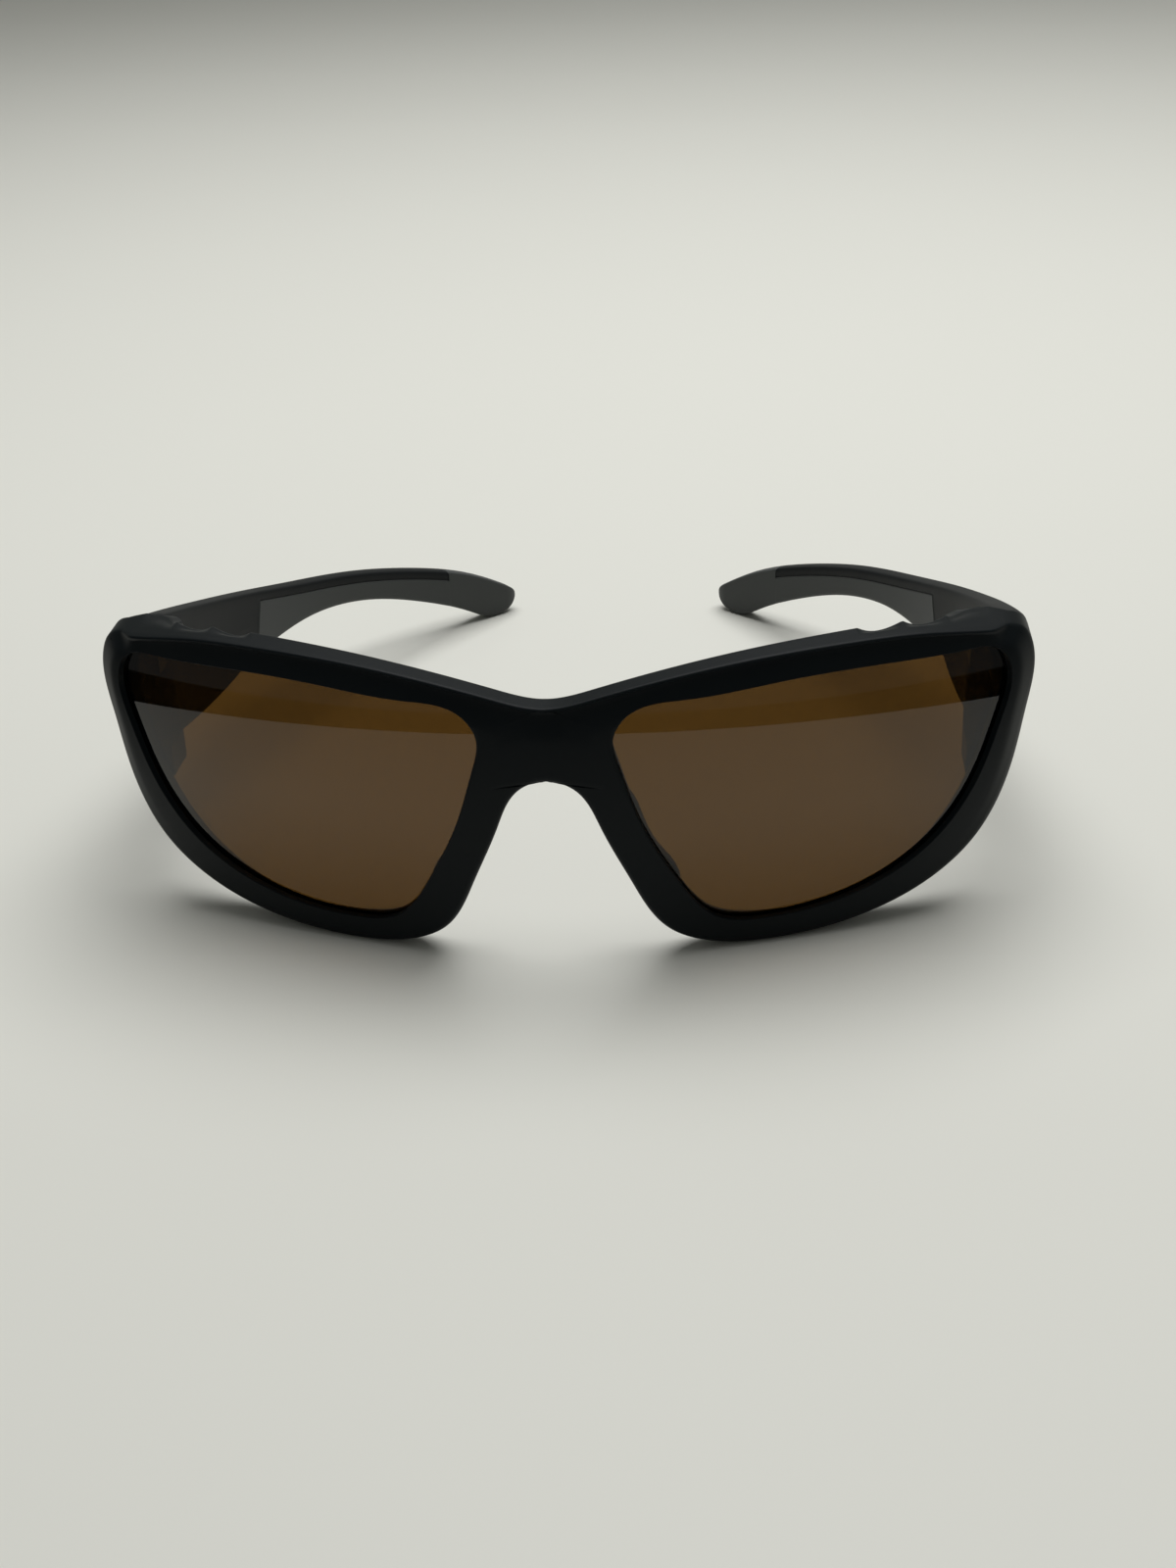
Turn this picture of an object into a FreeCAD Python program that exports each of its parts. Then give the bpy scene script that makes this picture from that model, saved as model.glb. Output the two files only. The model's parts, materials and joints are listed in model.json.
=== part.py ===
"""Wraparound sport sunglasses, in millimetres.

Frame: +X to the wearer's left, -Y the way the wearer looks, +Z up.  The origin is the
bottom centre of the box round the open glasses, which stand on the lower rims and the
temple tips.  "left" and "right" are the wearer's.  Heights are from z = 0, and depths
are measured back from the front of the bridge.
"""
import FreeCAD, Part
import math
import os
from FreeCAD import Placement, Rotation, Vector

SIZES = {
    # overall
    "front_width": 140.0,
    "front_height": 47.0,
    "overall_depth": 139.2,
    # front frame
    "wrap_radius": 118.0,
    "upright_radius": 100.0,
    "crown_height": 26.0,
    "back_radius": 104.0,
    "bridge_thickness": 4.6,
    "corner_inset": 1.0,
    "endpiece_wall": 4.2,
    # lenses
    "lens_thickness": 2.0,
    "lens_setback": 1.0,
    "lens_bite": 1.2,
    "groove_clearance": 0.08,
    # hinges
    "hinge_behind": 8.7236,
    "knuckle_room": 0.2,
    "knuckle_radius": 2.6,
    "lug_depth": 6.4,
    "lower_lug_base": 19.5,
    "lower_lug_height": 5.0,
    "centre_knuckle_height": 11.8,
    "upper_lug_height": 6.2,
    "knuckle_gap": 0.12,
    "butt_gap": 0.4,
    "screw_radius": 0.7,
    "screw_clearance": 0.04,
    "thread_bite": 0.04,
    "screw_head_radius": 1.35,
    "screw_head_height": 0.8,
    "driver_slot_width": 0.4,
    "driver_slot_depth": 0.4,
    "insert_radius": 1.5,
    "insert_height": 3.6,
    # temples
    "knuckle_web_depth": 5.0,
    "temple_root_thickness": 4.4,
    "temple_tip_thickness": 3.2,
    "tip_centre_x": 20.0,
    "grip_start": 50.0,
    "tongue_length": 97.0,
    "tongue_thickness": 1.5,
    "top_strip_height": 1.7,
    "dimple_radius": 0.6,
    "dimple_depth": 1.0,
    # nose pads
    "pad_thickness": 2.0,
    "peg_radius": 0.9,
    "peg_length": 1.6,
    "peg_root": 0.8,
    # vents in the brow
    "vent_radius": 3.0,
    "vent_depth": 0.9,
    "vent_length": 6.0,
    "vent_spacing": 6.5,
    "vent_first": 47.0,
}
# The hinge stands hinge_behind further back than the wrap's corner.  Its knuckle stands
# knuckle_room in from the endpiece's wall or the temple's root, whichever is thicker.
TIED_SIZES = {
    "hinge_back": "=wrap_radius - sqrt(wrap_radius^2 - (front_width / 2 - corner_inset)^2)"
                  " + hinge_behind",
    "hinge_inset": "=max(endpiece_wall; temple_root_thickness) + knuckle_radius + knuckle_room",
}
VENTS = 3
NOMINAL_WIDTH = 140.0
NOMINAL_HEIGHT = 47.0
NOMINAL_REACH = 108.2

# Half of the front's outline, seen from the front as (across, up), from the top of the
# bridge over the brow, round the rim and up the nose arch.
FRONT_OUTLINE = [
    (0, 41.2), (7, 42.5), (16, 44.6), (28, 46.4), (42, 47.0), (54, 46.2), (63.5, 44.4),
    (68.4, 42.6), (70, 39.2), (69.4, 31), (67.2, 21.3), (62, 11.2), (54.5, 5.1), (43, 1.1),
    (31.5, 0), (22.5, 1.0), (17, 3.8), (11.4, 13.4), (7.4, 22.6), (3.9, 28.8), (0, 30.2),
]
# The lens opening in the front surface, from its upper nose corner over the top.
OPENING_OUTLINE = [
    (9.7, 36.8), (11.4, 39.5), (20, 41.6), (33, 42.8), (48, 43.0), (59.5, 42.4),
    (64.6, 41.2), (66.1, 38.6), (65.0, 31.0), (61.6, 21.9), (54.4, 12.4), (44, 6.8),
    (31.5, 4.8), (24, 6.0), (18.4, 13.0), (13.0, 24.0), (10.4, 32.0),
]
# The nose pad, seen from the front.
PAD_OUTLINE = [(6.8, 27.0), (9.9, 27.8), (12.8, 23.6), (16.0, 16.2), (18.0, 11.0),
               (16.4, 9.2), (13.4, 12.4), (10.0, 19.0), (7.4, 24.4)]
PAD_PEG = (12.2, 19.0)
# The temple seen from the side as (back from the hinge, up): top edge, then lower edge.
TEMPLE_TOP = [(0, 41.6), (10, 38.9), (20, 36.0), (34, 31.8), (50, 27.2), (66, 22.8),
              (80, 19.2), (92, 15.0), (101, 10.5), (106.2, 6.3)]
TEMPLE_TIP = (108.2, 3.3)
TEMPLE_LOWER = [(106.3, 0.5), (104.2, 0.05), (101.2, 2.0), (93, 7.7), (83, 12.5), (68, 15.7),
                (50, 15.6), (32, 16.8), (12, 19.6), (0, 21.8)]
# The temple from above bows outwards by TEMPLE_BOW at BOW_AT of its reach, and has come in
# by CURL of the way to its tip at CURL_AT.
TEMPLE_BOW = 0.4
BOW_AT = 0.36
CURL = 0.13
CURL_AT = 0.71
# The plan runs past the tip by this much, and the side view's round end trims it.
TIP_RUN_PAST = 1.0
# The temple keeps inside the front's outline, seen from ahead, as far back as this.
TRIM_BACK = 60.0
# The grip's front edge leans back by this much for each millimetre up, about this height.
GRIP_LEAN = 0.3
GRIP_LEAN_HEIGHT = 20.0
# The dimple is at this share of the way along the temple, this high.
DIMPLE_SHARE = 0.95
DIMPLE_HEIGHT = 4.2

doc = FreeCAD.newDocument("sport_sunglasses")
sheet = doc.addObject("Spreadsheet::Sheet", "sizes")
for row, (alias, value) in enumerate({**SIZES, **TIED_SIZES}.items(), 1):
    sheet.set("A%d" % row, alias)
    sheet.set("B%d" % row, str(value))
    sheet.setAlias("B%d" % row, alias)
doc.recompute()


def size(alias):
    return float(getattr(sheet, alias))


WIDE = size("front_width") / NOMINAL_WIDTH
TALL = size("front_height") / NOMINAL_HEIGHT
REACH = size("overall_depth") - size("hinge_back")
FRONT_Y = -size("overall_depth") / 2
WRAP = size("wrap_radius")
HINGE_X = size("front_width") / 2 - size("hinge_inset")
HINGE_Y = FRONT_Y + size("hinge_back")
FRONT_VIEW = Rotation(Vector(1, 0, 0), 90)      # sketch x, y become X, Z
SIDE_VIEW = Rotation(Vector(1, 1, 1), 120)      # sketch x, y become Y, Z
SPARE = 2.0                                     # how far cutting shapes run past
CLEAR = 10.0                                    # the same where there is more room

# expressions shared by the hinge pieces
X_HINGE = "sizes.front_width / 2 - sizes.hinge_inset"
Y_HINGE = "sizes.hinge_back - sizes.overall_depth / 2"
Z_LOWER = "sizes.lower_lug_base"
Z_CENTRE = Z_LOWER + " + sizes.lower_lug_height + sizes.knuckle_gap"
Z_UPPER = Z_CENTRE + " + sizes.centre_knuckle_height + sizes.knuckle_gap"
Z_TOP = Z_UPPER + " + sizes.upper_lug_height"


# ---------------------------------------------------------------- sketches and features

def sketch(name, curves, rotation=Rotation(), base=Vector()):
    made = doc.addObject("Sketcher::SketchObject", name)
    made.Placement = Placement(base, rotation)
    for curve in curves:
        made.addGeometry(curve, False)
    return made


def closed_spline(points):
    curve = Part.BSplineCurve()
    curve.interpolate([Vector(u, v, 0) for u, v in points], PeriodicFlag=True)
    return curve


def open_spline(points):
    curve = Part.BSplineCurve()
    curve.interpolate([Vector(u, v, 0) for u, v in points])
    return curve


def line(start, end):
    return Part.LineSegment(Vector(*start, 0), Vector(*end, 0))


def arc(start, middle, end):
    return Part.Arc(Vector(*start, 0), Vector(*middle, 0), Vector(*end, 0))


def extrude(name, profile, direction, length):
    """Push a sketch along direction; length is an expression."""
    made = doc.addObject("Part::Extrusion", name)
    made.Base = profile
    made.DirMode = "Custom"
    made.Dir = direction
    made.Solid = True
    made.setExpression("LengthFwd", length)
    return made


def loft(name, sections):
    made = doc.addObject("Part::Loft", name)
    made.Sections = sections
    made.Solid = True
    made.Ruled = True
    return made


def place(made, x, y, z):
    for axis, text in zip("xyz", (x, y, z)):
        made.setExpression("Placement.Base." + axis, text)
    return made


def cylinder(name, radius, height, x, y, z):
    made = doc.addObject("Part::Cylinder", name)
    made.setExpression("Radius", radius)
    made.setExpression("Height", height)
    return place(made, x, y, z)


def box(name, length, width, height, x, y, z):
    made = doc.addObject("Part::Box", name)
    made.setExpression("Length", length)
    made.setExpression("Width", width)
    made.setExpression("Height", height)
    return place(made, x, y, z)


def fuse(name, shapes):
    made = doc.addObject("Part::MultiFuse", name)
    made.Shapes = shapes
    return made


def common(name, shapes):
    made = doc.addObject("Part::MultiCommon", name)
    made.Shapes = shapes
    return made


def cut(name, base, tool):
    made = doc.addObject("Part::Cut", name)
    made.Base = base
    made.Tool = tool
    return made


def mirror(name, source):
    """The same piece on the wearer's right."""
    made = doc.addObject("Part::Mirroring", name)
    made.Source = source
    made.Normal = Vector(1, 0, 0)
    return made


# ------------------------------------------------------------------------- outlines

def across(points):
    """Stretch a front-view outline to the front's width and height."""
    return [(x * WIDE, z * TALL) for x, z in points]


def both_halves(half):
    """Close a half outline with its mirror image; the ends lie on x = 0."""
    return half + [(-x, z) for x, z in reversed(half[1:-1])]


def grown(points, distance):
    """Move each point of a closed outline outwards along its spline's normal."""
    curve = closed_spline(points)
    middle = Vector(sum(x for x, z in points), sum(z for x, z in points), 0) * (1 / len(points))
    moved = []
    for x, z in points:
        along = curve.tangent(curve.parameter(Vector(x, z, 0)))[0]
        normal = Vector(along.y, -along.x, 0)
        if normal.dot(Vector(x, z, 0) - middle) < 0:
            normal = -normal
        moved.append((x + normal.x * distance, z + normal.y * distance))
    return moved


def recess(z):
    """How far the upright curve of the front has fallen back at this height."""
    round_up = size("upright_radius")
    return round_up - math.sqrt(round_up ** 2 - (z - size("crown_height")) ** 2)


def at_depth(points, depth):
    """Where an outline in the front surface meets the plane this far back, when its
    walls point at the axis of the wrap."""
    return [((WRAP - depth) * math.tan(math.asin(x / (WRAP - recess(z)))), z)
            for x, z in points]


def radial_block(name, points, side):
    """A block through the front with the outline's radial walls."""
    ends = []
    for where, depth in (("near", -SPARE), ("far", size("hinge_back") + SPARE)):
        outline = [(side * x, z) for x, z in at_depth(points, depth)]
        base = Vector(0, FRONT_Y + depth, 0)
        ends.append(sketch(name + "_" + where, [closed_spline(outline)], FRONT_VIEW, base))
    return loft(name, ends)


def barrel(name, radius, axis_depth, hollow=None):
    """A solid of revolution about an upright axis this far behind the front of the
    bridge, bulging to radius at the crown height; hollow is the radius of its inside."""
    low = -SPARE
    high = size("front_height") + SPARE
    crown = size("crown_height")
    skin = arc((radius - recess(low), low), (radius, crown), (radius - recess(high), high))
    if hollow is None:
        inside = line((0, low), (0, high))
        ends = (0, 0)
    else:
        ends = (hollow - recess(low), hollow - recess(high))
        inside = arc((ends[0], low), (hollow, crown), (ends[1], high))
    profile = sketch(name + "_profile", [
        skin, inside, line((ends[0], low), (radius - recess(low), low)),
        line((ends[1], high), (radius - recess(high), high))],
        FRONT_VIEW, Vector(0, FRONT_Y + axis_depth, 0))
    made = doc.addObject("Part::Revolution", name)
    made.Source = profile
    made.Axis = Vector(0, 0, 1)
    made.Base = Vector(0, FRONT_Y + axis_depth, 0)
    made.Angle = 360
    made.Solid = True
    return made


def back_depth(x, z):
    """Depth of the front's back face at a place seen from the front."""
    radius = size("back_radius") - recess(z)
    return size("bridge_thickness") + size("back_radius") - math.sqrt(radius ** 2 - x ** 2)


# ------------------------------------------------------------------------ front frame

def front_plan():
    """The front from above, still solid behind: wrapped face, side faces, butt line."""
    half = size("front_width") / 2
    inset = half - size("corner_inset")
    corner = (inset, FRONT_Y + WRAP - math.sqrt(WRAP ** 2 - inset ** 2))
    butt_y = HINGE_Y - size("butt_gap")
    return [
        arc((-corner[0], corner[1]), (0, FRONT_Y), corner),
        line(corner, (half, butt_y)),
        line((half, butt_y), (-half, butt_y)),
        line((-half, butt_y), (-corner[0], corner[1])),
    ]


def lug(name, side, base, height):
    """A hinge lug: a knuckle about the hinge axis and the web that ties it to the rim."""
    x = "%d * (%s)" % (side, X_HINGE)
    knuckle = cylinder(name + "_knuckle", "sizes.knuckle_radius", height, x, Y_HINGE, base)
    web_width = "sizes.hinge_inset + sizes.knuckle_radius - sizes.endpiece_wall / 2"
    low_x = X_HINGE + " - sizes.knuckle_radius"
    if side < 0:
        low_x = "-(%s) - (%s)" % (low_x, web_width)
    web = box(name + "_web", web_width, "sizes.lug_depth", height, low_x,
              Y_HINGE + " - sizes.lug_depth", base)
    return fuse(name, [knuckle, web])


def outline_block(name, start, length):
    """The front's outline pushed straight back from start."""
    outline = sketch(name + "_outline", [closed_spline(both_halves(across(FRONT_OUTLINE)))],
                     FRONT_VIEW, Vector(0, start, 0))
    return extrude(name, outline, Vector(0, 1, 0), length)


def front_frame(openings, grooves, peg_holes):
    plan = sketch("front_plan", front_plan())
    layer = extrude("front_layer", plan, Vector(0, 0, 1), "sizes.front_height + %g" % SPARE)
    block = outline_block("front_block", FRONT_Y - SPARE, "sizes.hinge_back + %g" % (2 * SPARE))
    bulge = barrel("front_bulge", WRAP, WRAP)
    solid = common("front_solid", [layer, block, bulge])
    behind = barrel("back_bulge", size("back_radius"),
                    size("bridge_thickness") + size("back_radius"))
    between = box("between_endpieces", "sizes.front_width - 2 * sizes.endpiece_wall",
                  "sizes.overall_depth", "sizes.front_height + %g" % (2 * CLEAR),
                  "sizes.endpiece_wall - sizes.front_width / 2",
                  "-sizes.overall_depth / 2", "-%g" % CLEAR)
    rim = cut("front_rim", solid, common("hollow_behind", [behind, between]))
    lugs = []
    holes = []
    for side, word in ((1, "left"), (-1, "right")):
        x = "%d * (%s)" % (side, X_HINGE)
        lower_height = "sizes.lower_lug_height"
        lugs.append(lug("lower_lug_" + word, side, Z_LOWER, lower_height))
        lugs.append(lug("upper_lug_" + word, side, Z_UPPER, "sizes.upper_lug_height"))
        holes.append(cylinder("insert_seat_" + word, "sizes.insert_radius", "sizes.insert_height",
                              x, Y_HINGE, Z_LOWER + " + sizes.lower_lug_height - sizes.insert_height"))
        holes.append(cylinder("upper_hole_" + word, "sizes.screw_radius + sizes.screw_clearance",
                              "sizes.upper_lug_height + %g" % (2 * SPARE), x, Y_HINGE,
                              Z_UPPER + " - %g" % SPARE))
        holes.append(cylinder("head_seat_" + word, "sizes.screw_head_radius + sizes.screw_clearance",
                              "sizes.screw_head_height + %g" % SPARE, x, Y_HINGE,
                              Z_TOP + " - sizes.screw_head_height"))
    holes += vents()
    lug_room = outline_block("lug_room", HINGE_Y - CLEAR, "sizes.overall_depth")
    whole = fuse("front_whole", [rim, common("lugs_inside", [fuse("lugs", lugs), lug_room])])
    tools = fuse("front_cuts", openings + grooves + peg_holes + holes)
    return cut("front_frame", whole, tools)


def vents():
    """Shallow scallops across the back edge of the brow, beside each hinge."""
    made = []
    for side in (1, -1):
        for number in range(VENTS):
            x = side * WIDE * (size("vent_first") + number * size("vent_spacing"))
            top = brow_height(abs(x))
            y = FRONT_Y + back_depth(x, top)
            vent = doc.addObject("Part::Cylinder", "vent")
            vent.setExpression("Radius", "sizes.vent_radius")
            vent.setExpression("Height", "sizes.vent_length")
            lean = side * math.degrees(math.asin(abs(x) / size("back_radius")))
            turn = Rotation(Vector(0, 0, 1), lean).multiply(Rotation(Vector(1, 0, 0), 90))
            lift = size("vent_radius") - size("vent_depth")
            out = turn.multVec(Vector(0, 0, -size("vent_length") / 2))
            vent.Placement = Placement(Vector(x, y, top + lift) + out, turn)
            made.append(vent)
    return made


def brow_height(x):
    """Height of the front's top edge at this distance from the middle."""
    curve = closed_spline(both_halves(across(FRONT_OUTLINE)))
    ray = line((x, size("crown_height")), (x, size("front_height") + SPARE)).toShape()
    touch = curve.toShape().distToShape(ray)[1]
    return max(pair[0].y for pair in touch)


# ---------------------------------------------------------------------------- lenses

def lens_and_cuts(side, word):
    """The lens, the opening that it shows through and the groove that holds it."""
    opening = radial_block("opening_" + word, across(OPENING_OUTLINE), side)
    edge = grown(across(OPENING_OUTLINE), size("lens_bite"))
    lens_block = radial_block("lens_block_" + word, edge, side)
    room = grown(across(OPENING_OUTLINE), size("lens_bite") + size("groove_clearance"))
    groove_block = radial_block("groove_block_" + word, room, side)
    outer = WRAP - size("lens_setback")
    inner = outer - size("lens_thickness")
    spare = size("groove_clearance")
    lens_shell = barrel("lens_shell_" + word, outer, WRAP, inner)
    lens = common("lens_" + word, [lens_block, lens_shell])
    groove_shell = barrel("groove_shell_" + word, outer + spare, WRAP, inner - spare)
    groove = common("groove_" + word, [groove_block, groove_shell])
    return lens, opening, groove


# -------------------------------------------------------------------------- nose pads

def nose_pad(side, word):
    """A soft pad on the back of the nose rim, with a peg that plugs into the frame."""
    outline = [(side * x, z) for x, z in across(PAD_OUTLINE)]
    face = sketch("pad_outline_" + word, [closed_spline(outline)], FRONT_VIEW,
                  Vector(0, FRONT_Y, 0))
    block = extrude("pad_block_" + word, face, Vector(0, 1, 0), "sizes.hinge_back")
    back = size("back_radius")
    layer = barrel("pad_layer_" + word, back, size("bridge_thickness") + back,
                   back - size("pad_thickness"))
    pad = common("pad_" + word, [block, layer])
    x, z = across([PAD_PEG])[0]
    skin_y = FRONT_Y + back_depth(x, z)
    pegs = []
    for kind in ("peg", "peg_hole"):
        peg = doc.addObject("Part::Cylinder", kind + "_" + word)
        peg.setExpression("Radius", "sizes.peg_radius")
        peg.setExpression("Height", "sizes.peg_length + sizes.peg_root")
        turn = Rotation(Vector(1, 0, 0), 90)
        peg.Placement = Placement(Vector(side * x, skin_y + size("peg_root"), z), turn)
        pegs.append(peg)
    return fuse("nose_pad_" + word, [pad, pegs[0]]), pegs[1]


# ---------------------------------------------------------------------------- temples

def temple_line():
    """The temple's centre line from above: straight at the hinge, curling in to the tip."""
    half = size("front_width") / 2
    root = half - size("temple_root_thickness") / 2
    tip = size("tip_centre_x")
    end_y = HINGE_Y + REACH + TIP_RUN_PAST
    curve = Part.BezierCurve()
    curve.setPoles([
        Vector(root, HINGE_Y, 0),
        Vector(root + TEMPLE_BOW, HINGE_Y + BOW_AT * REACH, 0),
        Vector(root - CURL * (root - tip), HINGE_Y + CURL_AT * REACH, 0),
        Vector(tip, end_y, 0),
    ])
    return curve


def beside(curve, share, distance):
    """The point at a share of the curve, moved outwards across it."""
    point = curve.value(share)
    along = curve.tangent(share)[0]
    return (point.x + along.y * distance, point.y - along.x * distance)


def half_thickness(share):
    root = size("temple_root_thickness")
    tip = size("temple_tip_thickness")
    return (root + (tip - root) * share) / 2


STATIONS = [number / 10 for number in range(11)]


def temple_plan(inner_offset=None):
    """Closed outline of the temple from above; with inner_offset it is only an outer
    layer that thick."""
    curve = temple_line()
    outer = [beside(curve, share, half_thickness(share)) for share in STATIONS]
    if inner_offset is None:
        inner = [beside(curve, share, -half_thickness(share)) for share in STATIONS]
    else:
        inner = [beside(curve, share, half_thickness(share) - inner_offset) for share in STATIONS]
        outer = [beside(curve, share, half_thickness(share) + SPARE) for share in STATIONS]
    edges = [open_spline(outer), open_spline(inner), line(outer[0], inner[0])]
    if inner_offset is None:
        round_end = curve.value(1.0) + curve.tangent(1.0)[0] * half_thickness(1.0)
        edges.append(arc(outer[-1], (round_end.x, round_end.y), inner[-1]))
    else:
        edges.append(line(outer[-1], inner[-1]))
    return edges


def along(points):
    """Stretch a side-view outline to the temple's reach and height, as (y, z)."""
    stretch = REACH / NOMINAL_REACH
    return [(HINGE_Y + back * stretch, z * TALL) for back, z in points]


def temple_side():
    top = along(TEMPLE_TOP)
    lower = along(TEMPLE_LOWER)
    tip = along([TEMPLE_TIP])[0]
    return [open_spline(top), arc(top[-1], tip, lower[0]), open_spline(lower),
            line(lower[-1], top[0])]


def temple_pieces(word):
    """The hard temple with its centre knuckle, and the soft grip moulded round it."""
    far = "sizes.front_width"
    plan = sketch("temple_plan", temple_plan())
    layer = extrude("temple_layer", plan, Vector(0, 0, 1), "sizes.front_height")
    profile = sketch("temple_side", temple_side(), SIDE_VIEW)
    slab = extrude("temple_slab", profile, Vector(1, 0, 0), far)
    outside = cut("outside_outline", box(
        "root_room", far, str(TRIM_BACK), "sizes.front_height + %g" % CLEAR,
        "0", Y_HINGE + " - %g" % SPARE, "-%g" % SPARE),
        outline_block("trim_block", HINGE_Y - CLEAR, "sizes.overall_depth"))
    whole = cut("temple_whole", common("temple_blank", [layer, slab]), outside)

    tongue_y = HINGE_Y + size("tongue_length") * REACH / NOMINAL_REACH
    outer_layer = extrude("tongue_layer", sketch("tongue_plan", temple_plan(size("tongue_thickness"))),
                          Vector(0, 0, 1), "sizes.front_height")
    drop = size("top_strip_height")
    under = [(y, z - drop) for y, z in along(TEMPLE_TOP)]
    sky = size("front_height") + CLEAR
    roof = [(under[-1][0], sky), (under[0][0], sky)]
    strip = extrude("strip_slab", sketch("strip_side", [
        open_spline(under), line(under[-1], roof[0]), line(roof[0], roof[1]),
        line(roof[1], under[0])], SIDE_VIEW), Vector(1, 0, 0), far)
    tongue_end = [(HINGE_Y - CLEAR, -CLEAR), (tongue_y, -CLEAR), (tongue_y, sky),
                  (HINGE_Y - CLEAR, sky)]
    before_end = extrude("tongue_limit", sketch("tongue_limit_side", loop(tongue_end), SIDE_VIEW),
                         Vector(1, 0, 0), far)
    tongue = common("tongue", [fuse("tongue_shapes", [outer_layer, strip]), before_end])

    middle = HINGE_Y + size("grip_start") * REACH / NOMINAL_REACH
    lean_height = GRIP_LEAN_HEIGHT * TALL
    front_part = [(HINGE_Y - CLEAR, -CLEAR), (middle - GRIP_LEAN * (lean_height + CLEAR), -CLEAR),
                  (middle + GRIP_LEAN * (sky - lean_height), sky), (HINGE_Y - CLEAR, sky)]
    root = extrude("root_slab", sketch("root_side", loop(front_part), SIDE_VIEW),
                   Vector(1, 0, 0), far)
    hard = fuse("hard_region", [root, tongue])

    dimple = doc.addObject("Part::Cylinder", "dimple")
    dimple.setExpression("Radius", "sizes.dimple_radius")
    dimple.setExpression("Height", "sizes.dimple_depth + %g" % SPARE)
    curve = temple_line()
    inner = beside(curve, DIMPLE_SHARE, -half_thickness(DIMPLE_SHARE) - SPARE)
    along_grip = curve.tangent(DIMPLE_SHARE)[0]
    turn = Rotation(Vector(0, 0, 1), Vector(along_grip.y, -along_grip.x, 0))
    dimple.Placement = Placement(Vector(inner[0], inner[1], DIMPLE_HEIGHT * TALL), turn)
    grip = cut("temple_grip_" + word, cut("grip_blank", whole, hard), dimple)

    height = "sizes.centre_knuckle_height"
    knuckle = cylinder("centre_knuckle", "sizes.knuckle_radius", height, X_HINGE, Y_HINGE, Z_CENTRE)
    web = box("knuckle_web", "sizes.hinge_inset - sizes.temple_root_thickness / 2",
              "sizes.knuckle_web_depth", height, X_HINGE, Y_HINGE, Z_CENTRE)
    bore = cylinder("centre_bore", "sizes.screw_radius + sizes.screw_clearance", height,
                    X_HINGE, Y_HINGE, Z_CENTRE)
    core = common("temple_core", [whole, hard])
    arm = cut("temple_" + word, fuse("temple_arm", [core, knuckle, web]), bore)
    return arm, grip


def loop(points):
    return [line(points[i], points[(i + 1) % len(points)]) for i in range(len(points))]


# ---------------------------------------------------------------------- screws, inserts

def hinge_screw(word):
    bottom = Z_LOWER + " + sizes.lower_lug_height - sizes.insert_height"
    shank_height = "(" + Z_TOP + " - sizes.screw_head_height) - (" + bottom + ")"
    shank = cylinder("shank_" + word, "sizes.screw_radius", shank_height, X_HINGE, Y_HINGE, bottom)
    head = cylinder("head_" + word, "sizes.screw_head_radius", "sizes.screw_head_height",
                    X_HINGE, Y_HINGE, Z_TOP + " - sizes.screw_head_height")
    slot = box("driver_slot_" + word, "4 * sizes.screw_head_radius", "sizes.driver_slot_width",
               "sizes.driver_slot_depth + %g" % SPARE, X_HINGE + " - 2 * sizes.screw_head_radius",
               Y_HINGE + " - sizes.driver_slot_width / 2", Z_TOP + " - sizes.driver_slot_depth")
    return cut("hinge_screw_" + word, fuse("screw_blank_" + word, [shank, head]), slot)


def hinge_insert(word):
    bottom = Z_LOWER + " + sizes.lower_lug_height - sizes.insert_height"
    sleeve = cylinder("sleeve_" + word, "sizes.insert_radius", "sizes.insert_height",
                      X_HINGE, Y_HINGE, bottom)
    bore = cylinder("thread_" + word, "sizes.screw_radius - sizes.thread_bite",
                    "sizes.insert_height", X_HINGE, Y_HINGE, bottom)
    return cut("hinge_insert_" + word, sleeve, bore)


# ------------------------------------------------------------------------------ build

pieces = {}
openings = []
grooves = []
peg_holes = []
for side, word in ((1, "left"), (-1, "right")):
    lens, opening, groove = lens_and_cuts(side, word)
    pad, peg_hole = nose_pad(side, word)
    pieces["lens_" + word] = lens
    pieces["nose_pad_" + word] = pad
    openings.append(opening)
    grooves.append(groove)
    peg_holes.append(peg_hole)
pieces["front_frame"] = front_frame(openings, grooves, peg_holes)
pieces["temple_left"], pieces["temple_grip_left"] = temple_pieces("left")
pieces["hinge_screw_left"] = hinge_screw("left")
pieces["hinge_insert_left"] = hinge_insert("left")
for kind in ("temple_", "temple_grip_", "hinge_screw_", "hinge_insert_"):
    pieces[kind + "right"] = mirror(kind + "right", pieces[kind + "left"])
doc.recompute()

for made in doc.Objects:
    if "Invalid" in made.State or "Error" in made.State:
        raise RuntimeError("%s failed: %s" % (made.Name, made.State))
for name, made in pieces.items():
    made.Label = name
    shape = made.Shape
    if shape.isNull() or not shape.isValid() or len(shape.Solids) != 1:
        raise RuntimeError("%s is not one valid solid (%d)" % (name, len(shape.Solids)))

os.makedirs("parts", exist_ok=True)
for name, made in sorted(pieces.items()):
    made.Shape.exportStep("parts/%s.step" % name)
    box_of = made.Shape.BoundBox
    print("%-20s volume %9.1f  X %.1f..%.1f  Y %.1f..%.1f  Z %.1f..%.1f" % (
        name, made.Shape.Volume, box_of.XMin, box_of.XMax, box_of.YMin, box_of.YMax,
        box_of.ZMin, box_of.ZMax))
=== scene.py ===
"""The looks of the wraparound sport sunglasses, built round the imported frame.

Lengths are metres, written as millimetres times MM.  +X is the wearer's left, -Y the way
the wearer looks, +Z up.  Shapes are worked out for the wearer's left and mirrored.
"""
import json
import math
import bmesh
import bpy
import numpy as np
from mathutils import Matrix, Vector


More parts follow.
